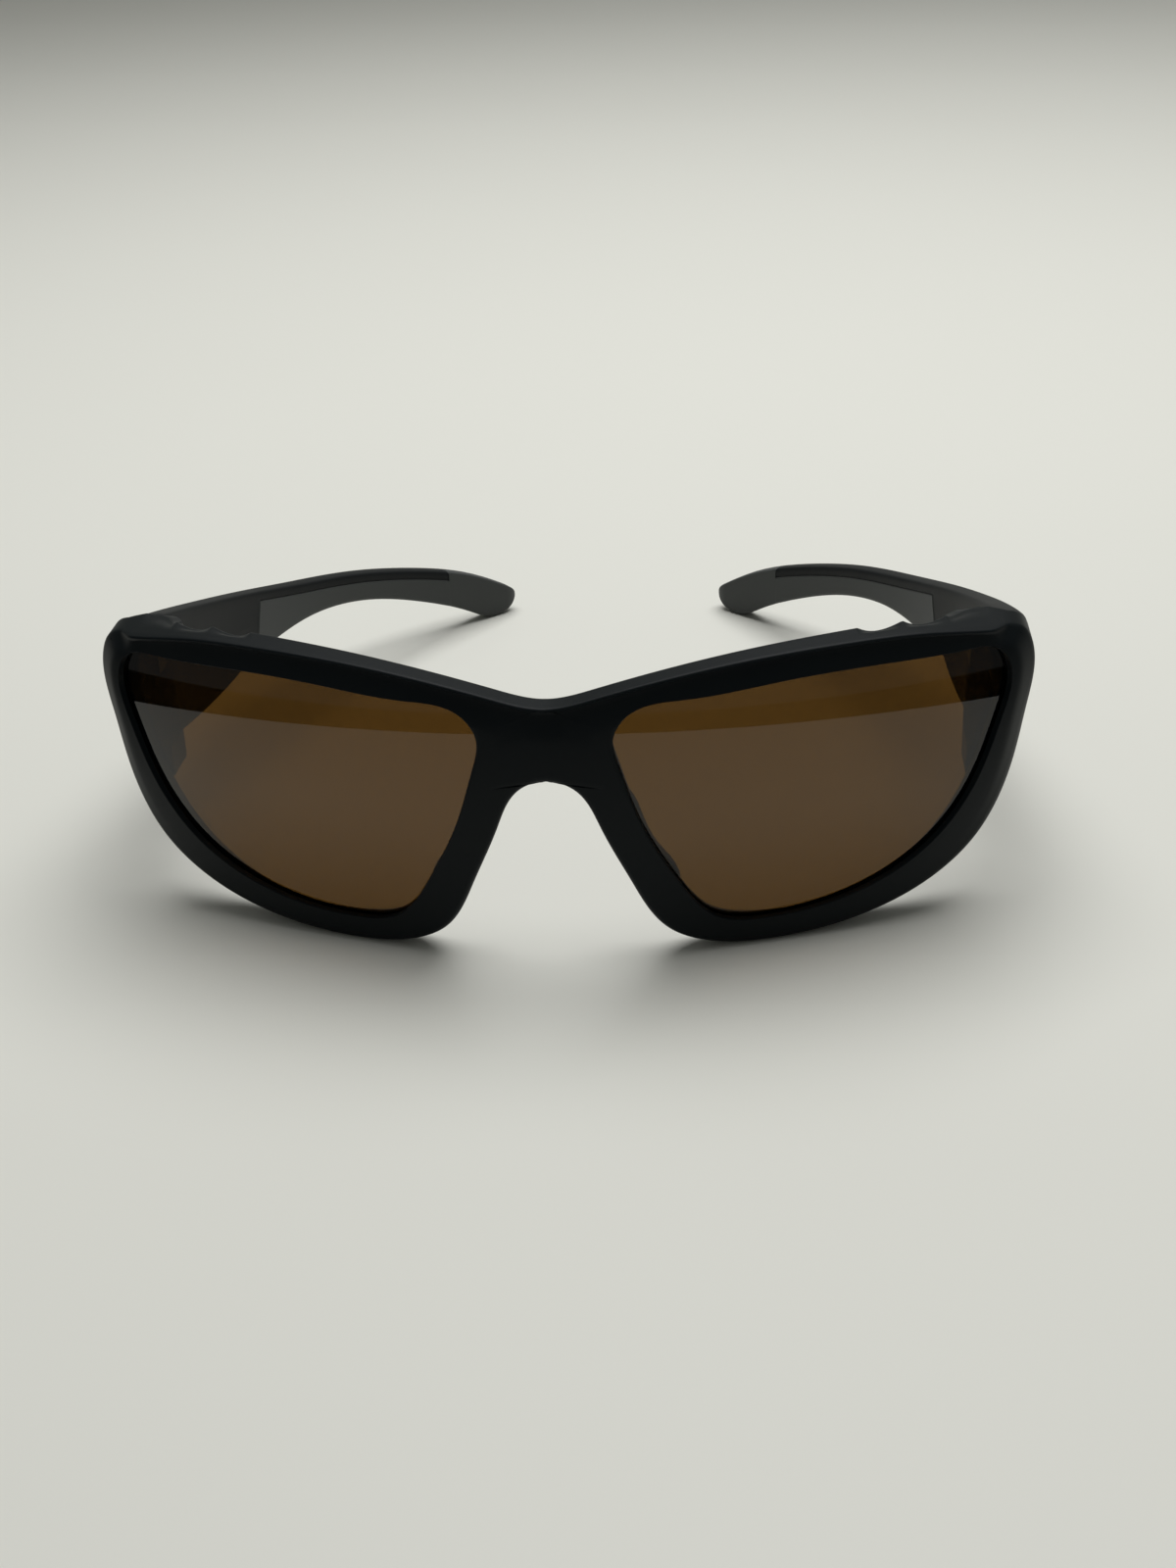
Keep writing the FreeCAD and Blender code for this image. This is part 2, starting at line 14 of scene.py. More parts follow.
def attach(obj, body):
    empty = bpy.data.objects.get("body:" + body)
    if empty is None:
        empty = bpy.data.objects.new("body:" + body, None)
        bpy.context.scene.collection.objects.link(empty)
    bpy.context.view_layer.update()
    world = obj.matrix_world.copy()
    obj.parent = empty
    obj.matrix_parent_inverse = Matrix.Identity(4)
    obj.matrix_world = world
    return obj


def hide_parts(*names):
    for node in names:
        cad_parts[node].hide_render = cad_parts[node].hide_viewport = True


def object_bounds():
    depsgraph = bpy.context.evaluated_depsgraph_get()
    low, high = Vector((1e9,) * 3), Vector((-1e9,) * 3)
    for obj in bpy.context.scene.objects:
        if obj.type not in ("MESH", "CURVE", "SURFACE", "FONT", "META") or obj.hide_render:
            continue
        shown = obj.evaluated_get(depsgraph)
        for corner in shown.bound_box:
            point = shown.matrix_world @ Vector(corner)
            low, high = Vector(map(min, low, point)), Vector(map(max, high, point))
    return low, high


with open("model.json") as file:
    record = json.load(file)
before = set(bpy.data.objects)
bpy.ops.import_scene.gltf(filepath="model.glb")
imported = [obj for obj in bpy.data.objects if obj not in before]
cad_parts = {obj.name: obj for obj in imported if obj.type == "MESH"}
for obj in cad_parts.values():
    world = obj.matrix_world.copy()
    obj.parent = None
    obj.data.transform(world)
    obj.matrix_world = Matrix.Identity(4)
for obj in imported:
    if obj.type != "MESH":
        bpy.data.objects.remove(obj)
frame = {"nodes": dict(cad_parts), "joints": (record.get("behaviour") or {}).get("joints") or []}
CAD_BOX = [list(corner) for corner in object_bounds()]

MM = 0.001
LOW = np.array(CAD_BOX[0])
HIGH = np.array(CAD_BOX[1])
FRONT_Y = LOW[1]
WIDE = (HIGH[0] - LOW[0]) / (140 * MM)
TALL = (HIGH[2] - LOW[2]) / (47 * MM)
HINGE = [joint["pos_m"] for joint in frame["joints"] if joint["child"] == "temple_left"][0]
HINGE_X = HINGE[0]
HINGE_Y = HINGE[1]
REACH = HIGH[1] - HINGE_Y

# the front's curves
WRAP = 118 * MM
UPRIGHT = 100 * MM
CROWN = 26 * MM
BACK = 104 * MM
BRIDGE = 4.6 * MM
BUTT_Y = HINGE_Y - 0.4 * MM

FRONT_OUTLINE = [
    (0, 41.2), (7, 42.5), (16, 44.6), (28, 46.4), (42, 47.0), (54, 46.2), (63.5, 44.4),
    (68.4, 42.6), (70, 39.2), (69.4, 31), (67.2, 21.3), (62, 11.2), (54.5, 5.1), (43, 1.1),
    (31.5, 0), (22.5, 1.0), (17, 3.8), (11.4, 13.4), (7.4, 22.6), (3.9, 28.8), (0, 30.2),
]
OPENING_OUTLINE = [
    (9.7, 36.8), (11.4, 39.5), (20, 41.6), (33, 42.8), (48, 43.0), (59.5, 42.4),
    (64.6, 41.2), (66.1, 38.6), (65.0, 31.0), (61.6, 21.9), (54.4, 12.4), (44, 6.8),
    (31.5, 4.8), (24, 6.0), (18.4, 13.0), (13.0, 24.0), (10.4, 32.0),
]
LENS_MIDDLE = np.array([38 * WIDE, 25 * TALL]) * MM
PAD_OUTLINE = [(6.8, 27.0), (9.9, 27.8), (12.8, 23.6), (16.0, 16.2), (18.0, 11.0),
               (16.4, 9.2), (13.4, 12.4), (10.0, 19.0), (7.4, 24.4)]
TEMPLE_SIDE = [(0, 41.6), (10, 38.9), (20, 36.0), (34, 31.8), (50, 27.2), (66, 22.8),
               (80, 19.2), (92, 15.0), (101, 10.5), (106.2, 6.3), (108.2, 3.3),
               (106.6, 0.6), (104.2, 0.05), (101.2, 2.0), (93, 7.7), (83, 12.5), (68, 15.7),
               (50, 15.6), (32, 16.8), (12, 19.6), (0, 21.8)]


# ------------------------------------------------------------------------- small shapes

def smoothstep(low, high, value):
    """0 below low, 1 above high and 3t^2 - 2t^3 between."""
    t = np.clip((value - low) / (high - low), 0, 1)
    return t * t * (3 - 2 * t)


def spline(points, closed, steps=40):
    """Cubic spline through points with chord length as its parameter: the slopes m solve
    m0/h0 + 2(1/h0 + 1/h1) m1 + m2/h1 = 3(chord0/h0^2 + chord1/h1^2), and each piece is the
    Hermite cubic between its two slopes.  Returns a dense row of points along it."""
    points = np.array(points, float)
    after = np.roll(points, -1, 0)
    count = len(points)
    chord = after - points
    h = np.linalg.norm(chord, axis=1)
    pull = np.zeros((count, count))
    right = np.zeros_like(points)
    inner = range(count) if closed else range(1, count - 1)
    for i in inner:
        pull[i, i - 1] += 1 / h[i - 1]
        pull[i, i] += 2 / h[i - 1] + 2 / h[i]
        pull[i, (i + 1) % count] += 1 / h[i]
        right[i] = 3 * (chord[i - 1] / h[i - 1] ** 2 + chord[i] / h[i] ** 2)
    if not closed:
        pull[0, :2] = (2, 1)
        right[0] = 3 * chord[0] / h[0]
        pull[-1, -2:] = (1, 2)
        right[-1] = 3 * chord[-2] / h[-2]
    slope = np.linalg.solve(pull, right)
    pieces = count if closed else count - 1
    t = np.arange(steps)[:, None, None] / steps
    a, b = points[:pieces], after[:pieces]
    ma, mb = slope[:pieces] * h[:pieces, None], np.roll(slope, -1, 0)[:pieces] * h[:pieces, None]
    curve = ((1 + 2 * t) * (1 - t) ** 2 * a + t * (1 - t) ** 2 * ma
             + t * t * (3 - 2 * t) * b + t * t * (t - 1) * mb)
    row = curve.transpose(1, 0, 2).reshape(-1, points.shape[1])
    return row if closed else np.vstack([row, points[-1:]])


def even(row, count, closed=False):
    """count points spaced evenly along a dense row of points."""
    if closed:
        row = np.vstack([row, row[:1]])
    run = np.concatenate([[0], np.cumsum(np.linalg.norm(np.diff(row, axis=0), axis=1))])
    where = np.linspace(0, run[-1], count + 1)[:-1] if closed else np.linspace(0, run[-1], count)
    return np.stack([np.interp(where, run, row[:, k]) for k in range(row.shape[1])], 1)


def distance_to(points, row):
    """Distance from each point to a row of line pieces, and which piece is nearest: drop a
    perpendicular on each piece, held between its ends."""
    start = row[:-1]
    along = row[1:] - start
    away = points[:, None, :] - start
    share = np.clip((away * along).sum(2) / (along ** 2).sum(1), 0, 1)
    gap = np.linalg.norm(away - share[..., None] * along, axis=2)
    nearest = gap.argmin(1)
    return gap[np.arange(len(points)), nearest], nearest


def rounded_loop(corners, radii, steps=5):
    """Closed loops with rounded corners, one for each row of corners: each corner gives way
    to a parabola arc that leaves its two sides at the radius, held under half a side."""
    parts = []
    count = corners.shape[1]
    t = np.linspace(0, 1, steps)[None, :, None]
    for k in range(count):
        here = corners[:, k]
        arms = []
        for other in (corners[:, k - 1], corners[:, (k + 1) % count]):
            side = other - here
            length = np.maximum(np.linalg.norm(side, axis=1, keepdims=True), 1e-9)
            reach = np.minimum(radii[k], 0.48 * length)
            arms.append((here + side / length * reach)[:, None, :])
        parts.append((1 - t) ** 2 * arms[0] + 2 * t * (1 - t) * here[:, None, :] + t * t * arms[1])
    return np.concatenate(parts, axis=1)


def grid_faces(rows, columns, wrap_rows=False, wrap_columns=False, keep=None):
    """Quads of a grid of points, row by row; wrap joins the last line to the first."""
    r = np.arange(rows if wrap_rows else rows - 1)
    c = np.arange(columns if wrap_columns else columns - 1)
    r, c = np.meshgrid(r, c, indexing="ij")
    if keep is not None:
        chosen = keep(r, c)
        r, c = r[chosen], c[chosen]
    r2, c2 = (r + 1) % rows, (c + 1) % columns
    corners = [r * columns + c, r2 * columns + c, r2 * columns + c2, r * columns + c2]
    return np.stack([corner.ravel() for corner in corners], 1)


def make_piece(name, parts, material, smooth_angle=32.0):
    """One mesh from a list of (points, faces): doubles merged, normals turned outwards, and
    shaded smooth up to an angle."""
    points = []
    faces = []
    base = 0
    for part_points, part_faces in parts:
        part_points = part_points.reshape(-1, 3)
        points.append(part_points)
        faces.append(part_faces + base)
        base += len(part_points)
    mesh = bpy.data.meshes.new(name)
    mesh.from_pydata(np.concatenate(points).tolist(), [], np.concatenate(faces).tolist())
    work = bmesh.new()
    work.from_mesh(mesh)
    bmesh.ops.remove_doubles(work, verts=work.verts, dist=0.004 * MM)
    bmesh.ops.dissolve_degenerate(work, edges=work.edges, dist=0.002 * MM)
    loose = [v for v in work.verts if not v.link_faces]
    bmesh.ops.delete(work, geom=loose, context="VERTS")
    bmesh.ops.recalc_face_normals(work, faces=work.faces)
    work.to_mesh(mesh)
    work.free()
    mesh.materials.append(material)
    mesh.shade_smooth()
    mesh.set_sharp_from_angle(angle=math.radians(smooth_angle))
    made = bpy.data.objects.new(name, mesh)
    bpy.context.scene.collection.objects.link(made)
    return made


def mirrored(points):
    return points * np.array([-1.0, 1.0, 1.0])


def fan(ring):
    """Close a ring: its points drawn in to their middle, as one more grid line."""
    return np.repeat(ring.mean(0)[None], len(ring), 0)


# ------------------------------------------------------------------------ front's curves

def recess(z):
    """How far the upright curve has fallen back at this height."""
    return UPRIGHT - np.sqrt(UPRIGHT ** 2 - (z - CROWN) ** 2)


def front_y(x, z):
    return FRONT_Y + WRAP - np.sqrt((WRAP - recess(z)) ** 2 - x ** 2)


def back_y(x, z):
    return FRONT_Y + BRIDGE + BACK - np.sqrt((BACK - recess(z)) ** 2 - x ** 2)


def inward(x, z, depth):
    """The point this deep under the front surface, along the line to the wrap's axis."""
    radius = WRAP - recess(z)
    shrink = (radius - depth) / radius
    y = FRONT_Y + WRAP - (radius - depth) * np.sqrt(1 - (x / radius) ** 2)
    return np.stack([x * shrink, y, z + 0 * y], -1)


def outline(points):
    return [(x * WIDE * MM, z * TALL * MM) for x, z in points]


def half_outline(count):
    """The front's outline on the wearer's left, from the bridge top round to the arch."""
    half = outline(FRONT_OUTLINE)
    whole = half + [(-x, z) for x, z in reversed(half[1:-1])]
    row = spline(whole, closed=True)
    row = np.vstack([row[:(len(half) - 1) * 40], [half[-1]]])
    return even(row, count)


def opening_toward(points):
    """Where the line from each point to the lens middle crosses the opening's outline."""
    row = spline(outline(OPENING_OUTLINE), closed=True, steps=60) - LENS_MIDDLE
    angle = np.arctan2(row[:, 1], row[:, 0])
    order = np.argsort(angle)
    wanted = points - LENS_MIDDLE
    wanted = np.arctan2(wanted[:, 1], wanted[:, 0])
    return np.stack([np.interp(wanted, angle[order], row[order, k], period=2 * math.pi)
                     for k in (0, 1)], 1) + LENS_MIDDLE


def through_opening(edge, depths):
    """Rows of points straight through the front at an edge seen from the front."""
    return [inward(edge[:, 0], edge[:, 1], depth) for depth in depths]


# ---------------------------------------------------------------------------- front

LENS_DEPTH = 1.0 * MM
LENS_THICK = 2.0 * MM
LENS_BITE = 1.2 * MM
GROOVE_ROOM = 0.08 * MM
OPENING_LIP = 0.3 * MM
BACK_ROUND = 1.3 * MM
# the hinge: the knuckle's radius, the webs, and each piece's foot and head
KNUCKLE = 2.6 * MM
LUG_DEPTH = 6.4 * MM
KNUCKLE_WEB = 5.0 * MM
LOWER_LUG = (19.5 * MM, 24.5 * MM)
CENTRE_KNUCKLE = (24.62 * MM, 36.42 * MM)
UPPER_LUG = (36.54 * MM, 42.74 * MM)
# how finely the front's mesh is cut
EDGE_STEPS = 6
AROUND = 460
BRIDGE_ROWS = 36


def front_relief(flat, rim, edge_radius):
    """How far the front face stands back from the plain wrap: a round along the outline, a
    cove under the brow's lip, and a slanted facet down the outer side."""
    x = flat[:, 0] / WIDE
    z = flat[:, 1] / TALL
    gap, nearest = distance_to(flat, rim)
    rounding = circle_fall(gap, edge_radius[nearest])
    corner = int(np.argmax(rim[:, 0] > 66 * MM * WIDE))
    from_brow, _ = distance_to(flat, rim[:corner])
    cove = (smoothstep(0.25 * MM, 0.75 * MM, from_brow)
            * (1 - smoothstep(0.9 * MM, 5.0 * MM, from_brow))
            * (1 - smoothstep(60 * MM, 67 * MM, x)))
    side_end = int(np.argmax((rim[:, 1] < 9 * MM * TALL) & (rim[:, 0] > 40 * MM)))
    from_side, _ = distance_to(flat, rim[corner:side_end])
    width = 2.4 * MM
    soft = 0.25 * MM
    facet = soft * np.log1p(np.exp((width - from_side) / soft))
    facet *= 0.85 * smoothstep(8 * MM, 30 * MM, z)
    return rounding + 0.5 * MM * cove + facet


def edge_radii(rim):
    """The outline's edge radius: crisp along the brow, soft round the lower rim and nose."""
    low = 1 - smoothstep(28 * MM, 38 * MM, rim[:, 1])
    return (0.32 + 0.65 * low) * MM


def endpiece_share(x, z):
    """1 where the outline carries the endpiece, easing to 0 along the brow and below."""
    return smoothstep(56.5 * MM, 61.5 * MM, x / WIDE) * smoothstep(13.5 * MM, 18.5 * MM, z / TALL)


def scallops(x, z):
    """How deep the vents' scallops cut the brow's back edge: three parabolas side by side,
    each steeper at its inner end."""
    first, spacing, depth = 43.75 * MM, 6.5 * MM, 0.9 * MM
    share = (x / WIDE - first) / spacing
    within = share - np.floor(share)
    curve = 4 * within * (1 - within) * (1.25 - 0.5 * within)
    inside = (share > 0) & (share < 3) & (z > CROWN)
    return np.where(inside, depth * curve, 0)


def unit(vectors):
    """Each vector made one long, and how long it was."""
    length = np.linalg.norm(vectors, axis=1, keepdims=True)
    return vectors / length, length


def round_gaps(reach):
    """Distances in from an edge that step evenly round a quarter circle."""
    return reach * (1 - np.cos(np.linspace(0, math.pi / 2, EDGE_STEPS + 1)))


def circle_fall(gap, radius):
    """How far a round edge has fallen away at this distance from the edge."""
    fall = np.clip(radius - gap, 0, None)
    return radius - np.sqrt(np.maximum(radius ** 2 - fall ** 2, 0))


def front_rows(outer, across, length, square, dense):
    """Rows over the front face, from the outline to a soft edge at the opening."""
    gaps = np.concatenate([round_gaps(0.97 * MM), np.array([1.25, 1.6, 2.0, 2.4, 2.8]) * MM])
    near = np.minimum(gaps / square, length * np.linspace(0, 0.62, len(gaps)) + 1e-6)
    far = length * (1 - np.array([0.34, 0.27, 0.2, 0.14, 0.08, 0.035, 0.012, 0.0]))
    radii = edge_radii(dense[:-1])
    rows = []
    for step in np.concatenate([near, far], axis=1).T:
        flat = outer + across * step[:, None]
        y = front_y(flat[:, 0], flat[:, 1]) + front_relief(flat, dense, radii)
        rows.append(np.stack([flat[:, 0], y, flat[:, 1]], 1))
    rows[-1][:, 1] += OPENING_LIP
    rows[-2][:, 1] += 0.35 * OPENING_LIP
    return rows


def opening_rows(opening, across):
    """Rows through the opening, with the groove for the lens cut in, and the opening's
    edge in the back face, which flares outwards low down at the outer side."""
    seat = LENS_DEPTH - GROOVE_ROOM
    seat_end = LENS_DEPTH + LENS_THICK + GROOVE_ROOM
    bite = opening - across * (LENS_BITE + GROOVE_ROOM)
    rows = through_opening(opening, [seat])
    rows += through_opening(bite, [seat, seat_end])
    rows += through_opening(opening, [seat_end])
    thick = back_y(opening[:, 0], opening[:, 1]) - front_y(opening[:, 0], opening[:, 1])
    depth = 0.96 * thick * np.cos(np.arcsin(opening[:, 0] / WRAP))
    depth = np.maximum(depth, seat_end + 0.2 * MM)
    flare = (2.4 * MM * smoothstep(20 * MM, 48 * MM, opening[:, 0])
             * (1 - smoothstep(30 * MM, 38 * MM, opening[:, 1])))[:, None]
    flared = opening - across * flare
    edge = inward(flared[:, 0], flared[:, 1], depth)[:, [0, 2]]
    y = back_y(edge[:, 0], edge[:, 1]) - 0.5 * MM
    rows.append(np.stack([edge[:, 0], y, edge[:, 1]], 1))
    return rows, edge


def back_rows(outer, edge, square, dense):
    """Rows over the back face from the opening to the outline.  The outermost WALL of it
    stands back to the butt line where the outline carries the endpiece."""
    span, reach = unit(outer - edge)
    reach = reach[:, 0]
    share = endpiece_share(outer[:, 0], outer[:, 1])
    wall = 1.6 * MM * smoothstep(60 * MM, 69 * MM, outer[:, 0]) + 1.9 * MM
    wall = np.minimum(wall, 0.7 * reach)
    steps = [reach * part for part in (0.997, 0.96)]
    steps += [wall + (0.93 * reach - wall) * part for part in (1.0, 0.66, 0.36, 0.16)]
    steps += [wall + rise * MM for rise in (0.3, 0.12, 0, -0.15, -0.4)]
    steps += [np.minimum(gap / square[:, 0], (wall - 0.4 * MM) * (1 - number / 8))
              for number, gap in enumerate(round_gaps(BACK_ROUND)[::-1])]
    lips = [0.5 * MM, 0.12 * MM] + [0] * (len(steps) - 2)
    rows = []
    for step, lip in zip(steps, lips):
        flat = outer - span * step[:, None]
        plain = back_y(flat[:, 0], flat[:, 1])
        gap, _ = distance_to(flat, dense)
        on_endpiece = 1 - smoothstep(-0.1 * MM, 0.34 * MM, step - wall)
        y = plain + (np.maximum(BUTT_Y, plain) - plain) * on_endpiece * share
        y -= circle_fall(gap, BACK_ROUND) + lip
        fade = 1 - smoothstep(0, 3 * MM, gap)
        height = flat[:, 1] - scallops(flat[:, 0], flat[:, 1]) * fade
        rows.append(np.stack([flat[:, 0], y, height], 1))
    return rows


def wall_rows(start, end, outer):
    """Rows over the outer wall, from the back edge to the front edge."""
    cuts = scallops(outer[:, 0], outer[:, 1])
    rows = []
    for part in (0.1, 0.22, 0.36, 0.52, 0.68, 0.84):
        row = start + (end - start) * part
        row[:, 2] = outer[:, 1] - cuts * (1 - smoothstep(0.0, 0.55, part))
        rows.append(row)
    return rows


def half_front():
    """Half of the front as one closed section carried round the lens opening.  Each section
    starts at the outline, crosses the front face to the opening, goes back through it with
    the lens groove cut in, and returns over the back face, the endpiece and the outer wall.
    The sections on the bridge's middle have no outer wall, so the halves weld there."""
    rim = half_outline(AROUND)
    dense = half_outline(1600)
    turn = (1 - np.cos(np.linspace(0, math.pi, BRIDGE_ROWS + 2)[1:-1])) / 2
    middle = rim[-1] + (rim[0] - rim[-1]) * turn[:, None]
    outer = np.vstack([rim, middle])
    on_rim = len(rim)
    opening = opening_toward(outer)
    across, length = unit(opening - outer)
    tangent, _ = unit(np.gradient(outer, axis=0))
    square = np.abs(across[:, :1] * tangent[:, 1:] - across[:, 1:] * tangent[:, :1])
    square = np.clip(square, 0.22, 1)

    rows = front_rows(outer, across, length, square, dense)
    through, edge = opening_rows(opening, across)
    rows += through + back_rows(outer, edge, square, dense)
    back_end = len(rows)
    rows += wall_rows(rows[-1], rows[0], outer)
    points = np.stack(rows, 1)
    points[on_rim:, [0, back_end - 1], 0] = 0
    sections, columns = points.shape[:2]

    def keep(row, column):
        return ~((row >= on_rim - 1) & (column >= back_end - 1))

    return points, grid_faces(sections, columns, True, True, keep)


def upright_block(plan, base, top, edge, inside=False):
    """A plan carried upwards, with a round of edge at both ends that draws it in toward its
    middle, and kept inside the front's outline if inside is set."""
    bend = np.linspace(0, math.pi / 2, 5)
    drop = edge * (1 - np.sin(bend))
    draw = edge * (1 - np.cos(bend))
    heights = np.concatenate([base + drop[::-1], top - drop])
    insets = np.concatenate([draw[::-1], draw])
    middle = plan.mean(0)
    rings = []
    for height, inset in zip(heights, insets):
        ring = middle + (plan - middle) * (1 - inset / (4 * MM))
        if inside:
            side = np.interp(height, SIDE_ROW[:, 1], SIDE_ROW[:, 0])
            ring[:, 0] = np.minimum(ring[:, 0], side - 0.8 * MM)
        rings.append(np.column_stack([ring, np.full(len(ring), height)]))
    return closed_rings(np.stack(rings))


def hinge_arc(start, stop, count):
    """Part of the knuckle's round about the hinge axis, seen from above."""
    turn = np.linspace(start, stop, count)
    return np.stack([HINGE_X + KNUCKLE * np.cos(turn), HINGE_Y + KNUCKLE * np.sin(turn)], 1)


def lug(base, top):
    """A hinge lug: the knuckle's round with a straight web to the endpiece."""
    web_x = 68.6 * MM * WIDE
    front = HINGE_Y - LUG_DEPTH
    corners = np.array([[HINGE_X - KNUCKLE, front], [web_x, front], [web_x, BUTT_Y]])
    plan = np.vstack([hinge_arc(0, math.pi, 25), corners])
    return upright_block(plan, base, top, 0.35 * MM, inside=True)


def front_parts():
    """Both halves of the front, each with its two lugs."""
    half = [half_front(), lug(*LOWER_LUG), lug(*UPPER_LUG)]
    return half + [(mirrored(points), faces) for points, faces in half]


# ---------------------------------------------------------------------------- lens

def lens_part(side):
    """A shell between two wraps: rings drawn in from the edge, LENS_BITE outside the
    opening, to the lens middle, on the front wrap, the back wrap and round the rim."""
    row = even(spline(outline(OPENING_OUTLINE), closed=True), 220, closed=True)
    along = np.roll(row, -1, 0) - np.roll(row, 1, 0)
    normal = np.stack([along[:, 1], -along[:, 0]], 1)
    normal /= np.linalg.norm(normal, axis=1, keepdims=True)
    normal *= np.sign(((row - LENS_MIDDLE) * normal).sum(1, keepdims=True))
    edge = row + normal * LENS_BITE
    shares = np.concatenate([np.linspace(0, 0.9, 19), [0.94, 0.97, 0.99, 1.0]])
    sheets = []
    for depth, order in ((LENS_DEPTH, shares), (LENS_DEPTH + LENS_THICK, shares[::-1])):
        for share in order:
            flat = LENS_MIDDLE + (edge - LENS_MIDDLE) * share
            sheets.append(inward(flat[:, 0], flat[:, 1], depth))
    points = np.stack(sheets)
    if side < 0:
        points = mirrored(points)
    return points, grid_faces(*points.shape[:2], wrap_columns=True)


# ------------------------------------------------------------------------- nose pads

def pad_part(side):
    """A soft pad: rings drawn in from its outline, standing off the rim's back by
    thickness times (1 - share^5)^(1/2), with a flat base just inside the rim."""
    row = even(spline(outline(PAD_OUTLINE), closed=True), 110, closed=True)
    middle = row.mean(0)
    thickness = 2.0 * MM
    shares = np.sin(np.linspace(0, math.pi / 2, 22))
    sheets = []
    for share in shares:
        flat = middle + (row - middle) * share
        y = back_y(flat[:, 0], flat[:, 1]) + thickness * np.sqrt(1 - share ** 5)
        sheets.append(np.stack([flat[:, 0], y, flat[:, 1]], 1))
    for share in shares[::-1]:
        flat = middle + (row - middle) * share
        y = back_y(flat[:, 0], flat[:, 1]) - 0.3 * MM
        sheets.append(np.stack([flat[:, 0], y, flat[:, 1]], 1))
    points = np.stack(sheets)
    if side < 0:
        points = mirrored(points)
    return points, grid_faces(*points.shape[:2], wrap_columns=True)


# --------------------------------------------------------------------------- temples

ROOT_THICK = 4.4 * MM
TIP_THICK = 3.2 * MM
TIP_X = 20.0 * MM
NOMINAL_REACH = 108.2 * MM
GRIP_START = 50 * MM
TONGUE_END = 97 * MM
LAYER = 1.5 * MM
STRIP = 1.7 * MM
STRETCH = REACH / NOMINAL_REACH


def temple_line(share):
    """The temple's middle line from above: a cubic Bezier curve."""
    root = HIGH[0] - ROOT_THICK / 2
    poles = np.array([(root, HINGE_Y), (root + 0.4 * MM, HINGE_Y + 0.36 * REACH),
                      (root - 0.13 * (root - TIP_X), HINGE_Y + 0.71 * REACH),
                      (TIP_X, HINGE_Y + REACH + 1.0 * MM)])
    t = np.asarray(share)[..., None]
    point = ((1 - t) ** 3 * poles[0] + 3 * (1 - t) ** 2 * t * poles[1]
             + 3 * (1 - t) * t * t * poles[2] + t ** 3 * poles[3])
    slope = ((1 - t) ** 2 * (poles[1] - poles[0]) + 2 * (1 - t) * t * (poles[2] - poles[1])
             + t * t * (poles[3] - poles[2]))
    slope /= np.linalg.norm(slope, axis=-1, keepdims=True)
    return point, slope


def outer_side():
    """The outer side of the front's outline, from its foot up."""
    half = half_outline(900)
    side = half[half[:, 0] > 52 * MM * WIDE]
    return side[side[:, 1].argsort()]


SIDE_ROW = outer_side()
SHARES = np.linspace(0, 1, 1501)
BACK_AT = temple_line(SHARES)[0][:, 1] - HINGE_Y


def temple_point(back, out, z):
    """A point of the temple from its distance back, how far out it is from the middle line
    (-1 inner face, 1 outer face) and its height.  The wall leans in wherever it would
    stand outside the front's outline."""
    share = np.interp(back, BACK_AT, SHARES)
    point, slope = temple_line(share)
    half = (ROOT_THICK + (TIP_THICK - ROOT_THICK) * share) / 2
    outside = point[..., 0] + slope[..., 1] * half - np.interp(z, SIDE_ROW[:, 1], SIDE_ROW[:, 0])
    x = point[..., 0] + slope[..., 1] * out * half - np.maximum(outside, 0)
    y = point[..., 1] - slope[..., 0] * out * half
    return np.stack([x, y, z + 0 * x], -1)


def side_edges():
    """The temple's side outline, cut where it reaches furthest back into a top row and a
    lower row, each as distance back and height."""
    row = spline(TEMPLE_SIDE, closed=False) * MM
    row = row * np.array([STRETCH, TALL])
    tip = row[:, 0].argmax()
    return row[:tip + 1], row[tip:][::-1]


TOP_ROW, LOWER_ROW = side_edges()
TIP_END = TOP_ROW[-1, 0]


def top_at(back):
    return np.interp(back, TOP_ROW[:, 0], TOP_ROW[:, 1])


def lower_at(back):
    return np.interp(back, LOWER_ROW[:, 0], LOWER_ROW[:, 1])


def grip_lean(back, z):
    """Stations near the grip's front edge lean back as they go up."""
    near = np.exp(-((back - GRIP_START * STRETCH) / (9 * MM)) ** 2)
    return 0.3 * (z - 20 * MM * TALL) * near


def temple_rings(back, corner_out, corner_height, radii):
    """Rings round the temple at the given distances back; each corner has its place across
    (-1 to 1) and its height, and is rounded."""
    half = (ROOT_THICK + (TIP_THICK - ROOT_THICK) * back / REACH) / 2
    corners = np.stack([corner_out * half[:, None], corner_height], -1)
    loops = rounded_loop(corners, radii)
    out = loops[..., 0] / half[:, None]
    z = loops[..., 1]
    reach = back[:, None] + grip_lean(back[:, None], z)
    share = (z - lower_at(back)[:, None]) / (top_at(back) - lower_at(back))[:, None]
    z = lower_at(reach) + share * (top_at(reach) - lower_at(reach))
    return temple_point(reach, out, z)


def closed_rings(rings):
    points = np.concatenate([fan(rings[0])[None], rings, fan(rings[-1])[None]])
    return points, grid_faces(*points.shape[:2], wrap_columns=True)


